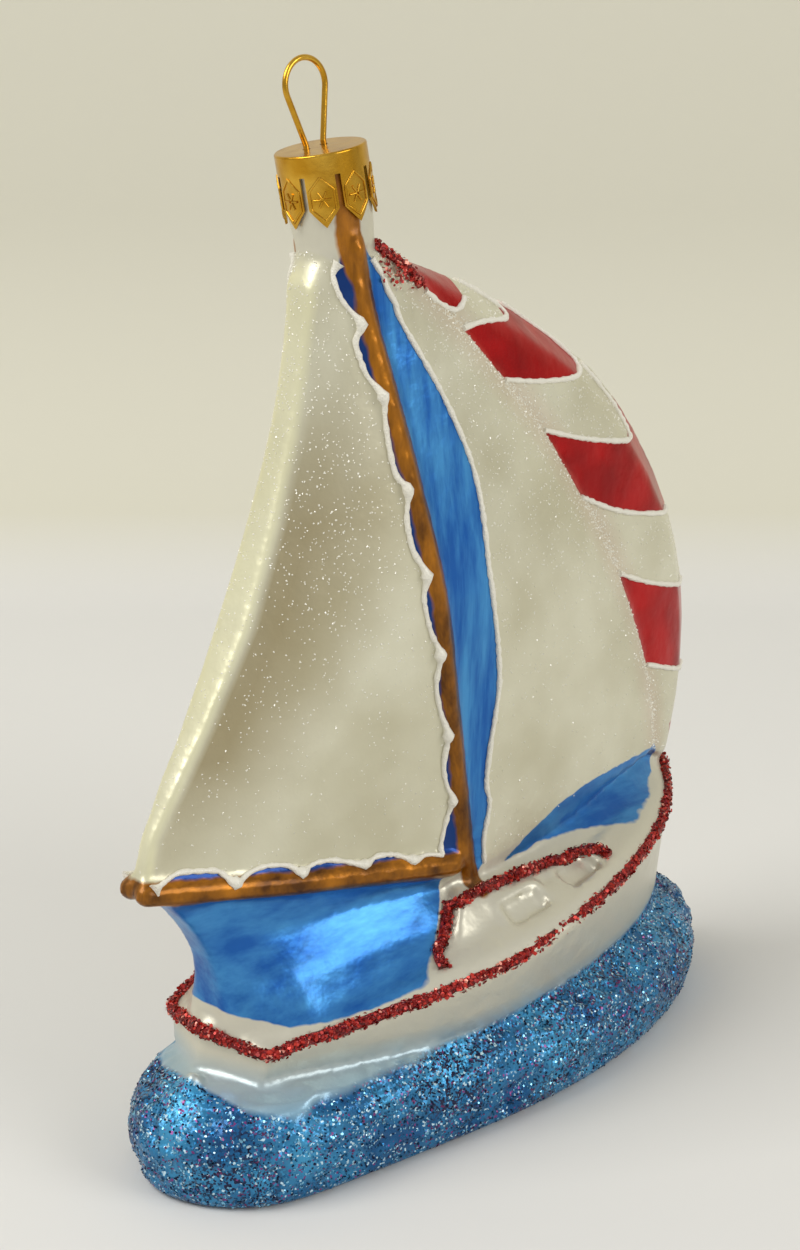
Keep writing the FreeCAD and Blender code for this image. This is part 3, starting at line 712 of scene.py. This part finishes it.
def drawn_on_glass(points, lift, step=0.6):
    """The line of X and Z points on the starboard glass, lifted a little off it."""
    path = []
    for x, z in walk(points, step):
        start = Vector((x, -SEARCH_FROM, z)) * MM
        place, normal, _, _ = surface.ray_cast(start, Vector((0, 1, 0)))
        if place:
            path.append(place + normal * lift * MM)
    return path


edges_drawn = [drawn_on_glass(line, 0.1) for line in (LUFF_PIPING, FOOT_PIPING, FORESAIL_LEECH)]
seams_drawn = [drawn_on_glass(line, 0.05) for line in STRIPE_SEAMS]
print("points on the edges:", [len(path) for path in edges_drawn])

# %% [markdown]
# A curve with a round bevel turns a line into a bead, which is then made a mesh. The bead's
# thickness varies a little from point to point, as a hand's pressure does, and swells at the
# knots. The port side is a mirrored copy.

# %% White piping
KNOT_SWELL = 1.3
KNOT_REACH = 0.8


def both_sides(paths, uneven, knots=()):
    """Each path and its mirror image to port, as points with an uneven thickness."""
    lines = []
    for path in paths:
        for side in (1, -1):
            line = []
            for place in path:
                thickness = 1 + random.uniform(-uneven, uneven)
                for x, z in knots:
                    gap = math.hypot(place[0] / MM - x, place[2] / MM - z)
                    thickness += KNOT_SWELL * math.exp(-((gap / KNOT_REACH) ** 2))
                line.append(((place[0], side * place[1], place[2]), thickness))
            lines.append(line)
    return lines


def bead_mesh(name, lines, radius, roundness):
    """One mesh of round beads along lines of points with their thickness."""
    curve = bpy.data.curves.new(name, "CURVE")
    curve.dimensions = "3D"
    curve.bevel_depth = radius * MM
    curve.bevel_resolution = roundness
    curve.use_fill_caps = True
    for line in lines:
        spline = curve.splines.new("POLY")
        spline.points.add(len(line) - 1)
        for spot, (place, thickness) in zip(spline.points, line):
            spot.co = (*place, 1)
            spot.radius = thickness
    mesh = as_mesh(add_object(name + "_curve", curve))
    mesh.name = name
    shade_smooth(mesh)
    return mesh


white = Finish("white_piping")
white.set(Base_Color=screen(226, 222, 208), Roughness=0.4, Coat_Weight=0.3,
          Normal=white.bump(white.cells(0.35)[0], 0.15, 0.7), Subsurface_Weight=0.1)
white.surface.inputs["Subsurface Radius"].default_value = (MM, MM, MM)
edge_lines = both_sides(edges_drawn, 0.25, KNOTS)
piping = add_object("white_piping", bead_mesh("white_piping", edge_lines, 0.42, 3))
part_of_boat(piping, white.material)
seam_lines = both_sides(seams_drawn, 0.25)
stripe_piping = add_object("stripe_piping", bead_mesh("stripe_piping", seam_lines, 0.45, 3))
part_of_boat(stripe_piping, white.material)
print("piping:", len(piping.data.polygons) + len(stripe_piping.data.polygons), "faces")

# %% [markdown]
# ## Glitter
# Each coloured grain is a small flat flake of five sides, turned a random way. The clear frost on
# the sails is coarser sugar, so its grains are tiny blunt pyramids. Both are made by an operator
# that takes the grain's place and turn as a matrix, in batches, because one growing mesh slows
# down. The places come from the glass's own triangles, picked by their area.

# %% Flakes
BATCH_LIMIT = 1500
NO_AREA = 1e-12


def scatter(name, places, normals, size, tilt, sugar=False):
    """A mesh of grains at places, leaning away from the normals by up to a tilt."""
    whole = bmesh.new()
    batch = bmesh.new()
    for number, (place, normal) in enumerate(zip(places, normals)):
        lean = Vector(normal) + Vector([random.uniform(-tilt, tilt) for _ in range(3)])
        turn = lean.to_track_quat("Z", "Y").to_matrix().to_4x4()
        spin = Matrix.Rotation(random.uniform(0, math.tau), 4, "Z")
        matrix = Matrix.Translation(place) @ turn @ spin
        radius = size * MM / 2 * random.uniform(0.7, 1.25)
        if sugar:
            bmesh.ops.create_cone(batch, cap_ends=True, segments=4, radius1=radius,
                                  radius2=0.3 * radius, depth=1.4 * radius, matrix=matrix)
        else:
            bmesh.ops.create_circle(batch, cap_ends=True, segments=5, radius=radius, matrix=matrix)
        if len(batch.verts) > BATCH_LIMIT or number == len(places) - 1:
            piece = bpy.data.meshes.new("batch")
            batch.to_mesh(piece)
            whole.from_mesh(piece)
            bpy.data.meshes.remove(piece)
            batch.clear()
    mesh = bpy.data.meshes.new(name)
    whole.to_mesh(mesh)
    return mesh


def measured_triangles(mesh):
    """The corners in millimetres, the areas and the normals of a mesh's triangles."""
    mesh.calc_loop_triangles()
    points = np.array([v.co[:] for v in mesh.vertices]) / MM
    triangles = np.array([t.vertices[:] for t in mesh.loop_triangles])
    corners = points[triangles]
    cross = np.cross(corners[:, 1] - corners[:, 0], corners[:, 2] - corners[:, 0])
    length = np.linalg.norm(cross, axis=1)
    return triangles, corners, length / 2, cross / np.maximum(length, NO_AREA)[:, None]


def spots(corners, facing, weight, count):
    """Random places on triangles, as many on each as its weight says, with their normals."""
    chosen = rng.choice(len(weight), count, p=weight / weight.sum())
    shares = rng.dirichlet((1, 1, 1), count)
    found = (corners[chosen] * shares[:, :, None]).sum(axis=1)
    return [Vector(place) * MM for place in found], [Vector(normal) for normal in facing[chosen]]


triangles, corners, areas, facing = measured_triangles(glass_mesh)
centres = corners.mean(axis=1)
zone_at = {name: values[triangles].mean(axis=1) for name, values in zones.items()}
print("glass triangles:", len(triangles))

# %% [markdown]
# The frost lies all over the pearl, thicker towards the head, and thickest in a narrow band on
# the foresail's front edge. The wave's loose flakes are all over the water, in blue, navy, pale
# and violet.

# %% Frost on the sails
FROST_COUNT = 10500
FROST_SIZE = 0.36
FROST_TILT = 0.7
FROST_TOP = 139

bare_sail = np.clip(zone_at["canvas"] + 0.3, 0, 1) * (zone_at["blue"] < 0.2) * (zone_at["red"] < 0)
to_head = np.clip((centres[:, 2] - 60) / 60, 0, 1)
by_luff = 1.2 * np.exp(-(zone_at["luff"] / 3.5) ** 2) + 7 * np.exp(-(zone_at["luff"] / 0.9) ** 2)
frost_share = bare_sail * (0.25 + to_head + by_luff) * (centres[:, 2] < FROST_TOP)
frost_places, frost_normals = spots(corners, facing, areas * frost_share, FROST_COUNT)
frost_mesh = scatter("clear_frost", frost_places, frost_normals, FROST_SIZE, FROST_TILT, True)
frost = add_object("clear_frost", frost_mesh)
sugar = Finish("clear_glitter")
sugar.set(Base_Color=screen(232, 229, 214), Roughness=0.15, Specular_IOR_Level=0.8, Coat_Weight=0.6)
part_of_boat(frost, sugar.material)
print("frost:", len(frost_mesh.polygons), "faces")

# %% Glitter on the wave
WAVE_COUNT = 11000
WAVE_FLAKE = 0.38
WAVE_TILT = 0.5
FLAKE_LIFT = 0.08

wet = (zone_at["water"] > 0.3) * (centres[:, 2] > WAVE_FOOT)
wave_places, wave_normals = spots(corners, facing, areas * wet, WAVE_COUNT)
wave_places = [place + normal * FLAKE_LIFT * MM for place, normal in zip(wave_places, wave_normals)]
wave_mesh = scatter("wave_glitter", wave_places, wave_normals, WAVE_FLAKE, WAVE_TILT)
wave_glitter = add_object("wave_glitter", wave_mesh)
spray = Finish("wave_glitter")
navy_pick, pale_pick, violet_pick = spray.channels(spray.cells(0.9)[1])[:3]
navy_share = spray.ramp(spray.math("ADD", navy_pick, spray.noise(11.0, 2.0)), 1.0, 1.1)
tones = spray.mix(navy_share, screen(34, 106, 156), screen(24, 34, 66))
tones = spray.mix(spray.ramp(pale_pick, 0.72, 0.76), tones, screen(130, 190, 220))
tones = spray.mix(spray.ramp(violet_pick, 0.86, 0.88), tones, screen(112, 60, 104))
spray.set(Base_Color=tones, Metallic=0.8, Roughness=0.25)
part_of_boat(wave_glitter, spray.material)
print("wave glitter:", len(wave_mesh.polygons), "faces")

# %% [markdown]
# ## Red ropes
# Thick beads of dark red lacquer were strewn with red flakes while they were wet. One follows the
# deck's edge and crosses the transom in a shallow vee, one runs up and over the cabin, and a
# short one sits at the head of the sails. The deck's edge is given in X, Y and Z, since it is
# the edge of the hull, and the other two in X and Z, which are searched for on the glass.

# %% Rope routes
DECK_EDGE = [
    (-50.2, 0.0, 23.6), (-48.2, 5.6, 22.4), (-46.0, 11.6, 21.7), (-41.0, 13.4, 22.6),
    (-34.5, 16.2, 23.6), (-27.0, 19.0, 24.9), (-20.9, 21.3, 25.8), (-14.0, 23.2, 26.9),
    (-7.1, 24.7, 28.0), (2.6, 24.4, 29.6), (14.0, 23.4, 31.5), (24.5, 20.8, 33.2), (35.1, 16.7, 34.9),
    (40.2, 13.7, 35.7), (45.7, 9.7, 36.6), (50.2, 5.3, 37.4), (53.6, 1.6, 38.0), (54.3, 0.0, 38.1)]
CABIN_ROPE = [
    (-17.5, 28.6), (-16.4, 30.0), (-14.3, 31.2), (-12.0, 33.0), (-10.4, 34.6), (-8.0, 35.4),
    (-3.0, 35.6), (3.8, 35.6), (9.2, 35.5), (14.0, 35.5), (18.1, 35.6), (20.2, 35.5), (20.7, 34.9)]
HEAD_ROPE = [(-17.6, 136.0), (-15.6, 134.4), (-13.6, 133.0), (-11.6, 131.2), (-10.2, 129.6)]
ROPE_RADIUS = 0.85
ROPE_SUNK = 0.955

deck_path = [Vector((x, -y * ROPE_SUNK, z)) * MM for x, y, z in walk(DECK_EDGE, 1.0)]
cabin_path = drawn_on_glass(CABIN_ROPE, 0.2, 1.0)
head_path = drawn_on_glass(HEAD_ROPE, 0.1, 0.8)
rope_lines = both_sides([deck_path, cabin_path, head_path], 0.15)
rope_mesh = bead_mesh("red_ropes", rope_lines, ROPE_RADIUS, 4)
ropes = add_object("red_ropes", rope_mesh)
garnet = Finish("garnet_lacquer")
bead_distance, bead_colour = garnet.cells(0.5)
garnet_tone = garnet.mix(garnet.channels(bead_colour)[0], screen(84, 10, 12), screen(168, 34, 30))
garnet.set(Base_Color=garnet_tone, Metallic=0.35, Roughness=0.3,
           Normal=garnet.bump(bead_distance, 0.4, 1.0))
part_of_boat(ropes, garnet.material)
print("ropes:", len(rope_mesh.polygons), "faces")

# %% [markdown]
# The flakes on the ropes are placed like those on the glass, half sunk or standing a little
# proud. Some more are strewn around the head of the sails, fewer with distance from the middle
# of the patch, where they pile up to a millimetre.

# %% Rope flakes
ROPE_FLAKES = 8000
RUBY_SIZE = 0.6
RUBY_TILT = 0.8
HEAD_FLAKES = 300
HEAD_MIDDLE = np.array([-14.6, 0.0, 132.4])
HEAD_REACH = np.array([3.2, 60, 2.4])
HEAD_FALL = 1.5
HEAD_BACK = -19.0


def raised(places, normals, low, high):
    return [place + normal * random.uniform(low, high) * MM for place, normal in zip(places, normals)]


_, rope_corners, rope_areas, rope_facing = measured_triangles(rope_mesh)
rope_places, rope_normals = spots(rope_corners, rope_facing, rope_areas, ROPE_FLAKES)
ruby_places = raised(rope_places, rope_normals, -0.1, 0.3)
head_share = np.exp(-((centres - HEAD_MIDDLE) ** 2 / HEAD_REACH ** 2).sum(axis=1) * HEAD_FALL)
head_weight = areas * head_share * (centres[:, 0] > HEAD_BACK)
head_places, head_normals = spots(corners, facing, head_weight, HEAD_FLAKES)
ruby_places += raised(head_places, head_normals, 0.1, 1.0)
ruby_mesh = scatter("red_flakes", ruby_places, rope_normals + head_normals, RUBY_SIZE, RUBY_TILT)
red_flakes = add_object("red_flakes", ruby_mesh)
ruby = Finish("ruby_flake")
tone_pick, spark_pick = ruby.channels(ruby.cells(0.7)[1])[:2]
ruby_tone = ruby.mix(ruby.ramp(tone_pick, 0.3, 0.7), screen(128, 14, 12), screen(196, 52, 40))
# Painted glint: a few flakes are coloured a pale pink, as sparkle.
ruby_tone = ruby.mix(ruby.ramp(spark_pick, 0.9, 0.93), ruby_tone, screen(240, 160, 140))
ruby.set(Base_Color=ruby_tone, Metallic=0.4, Roughness=0.3)
part_of_boat(red_flakes, ruby.material)
print("red flakes:", len(ruby_mesh.polygons), "faces")

# %% [markdown]
# ## Cap and loop
# The cap is thin brass sheet, stamped with a hexagon and a six-petalled flower on each tab, and
# gilded. Its solid has the tabs and slots already, so it stays and gets a gold finish, with
# shallow dents. The wire loop gets the same gold.

# %% Gold
gold = Finish("gilding")
tarnish = gold.ramp(gold.noise(4.0, 2.0), 0.35, 0.65)
gold.set(Base_Color=gold.mix(tarnish, screen(186, 136, 36), screen(214, 168, 64)),
         Metallic=1.0, Roughness=0.24, Normal=gold.bump(gold.noise(1.6, 3.0), 0.12, 0.6))
for node in ("cap", "hanger"):
    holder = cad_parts[node]
    holder.data.materials.clear()
    holder.data.materials.append(gold.material)
    print("gilded:", node)

# %% [markdown]
# The stamping is added as fine raised beads. They are laid out flat, as distances round the cap
# and down from its top, and then bent round the cap's axis, which leans with the neck.

# %% Stamped hexagons and flowers
CAP_RADIUS = 6.58
CAP_HEAD = 14.7
CAP_TABS = 8
CAP_TURN = -138.0
HEXAGON = [(0.0, -3.1), (1.75, -4.9), (1.75, -7.5), (0.0, -9.2), (-1.75, -7.5), (-1.75, -4.9), (0.0, -3.1)]
SIDE_STEPS = 5
FLOWER_LEVEL = -6.2
PETALS = 6
PETAL_LENGTH = 1.25
PETAL_STEPS = (0.15, 0.5, 0.8, 1.0)
STAMP_RADIUS = 0.17
neck_lean = Vector((0, 0, 1)).rotation_difference(NECK_AXIS).to_matrix()


def on_cap(bearing, sideways, down):
    """A point on the cap's round side, with the bearing in degrees."""
    angle = math.radians(bearing) + sideways / CAP_RADIUS
    local = Vector((CAP_RADIUS * math.cos(angle), CAP_RADIUS * math.sin(angle), CAP_HEAD + down))
    return (NECK_FOOT + neck_lean @ local) * MM


def hexagon(bearing):
    points = []
    for (x0, z0), (x1, z1) in zip(HEXAGON, HEXAGON[1:]):
        shares = [number / SIDE_STEPS for number in range(SIDE_STEPS)]
        points += [on_cap(bearing, x0 + (x1 - x0) * t, z0 + (z1 - z0) * t) for t in shares]
    return points + points[:1]


def petal(bearing, number):
    angle = math.radians(30 + 360 / PETALS * number)
    sideways = PETAL_LENGTH * math.sin(angle)
    rise = PETAL_LENGTH * math.cos(angle)
    return [on_cap(bearing, sideways * t, FLOWER_LEVEL + rise * t) for t in PETAL_STEPS]


stamps = []
for number in range(CAP_TABS):
    tab_bearing = CAP_TURN + 360 / CAP_TABS * number
    stamps.append(hexagon(tab_bearing))
    stamps += [petal(tab_bearing, leaf) for leaf in range(PETALS)]
stamp_lines = [[(place, 1.0) for place in stamp] for stamp in stamps]
stamping = add_object("cap_stamping", bead_mesh("cap_stamping", stamp_lines, STAMP_RADIUS, 2))
part_of_boat(stamping, gold.material)
print("stamped lines:", len(stamps))
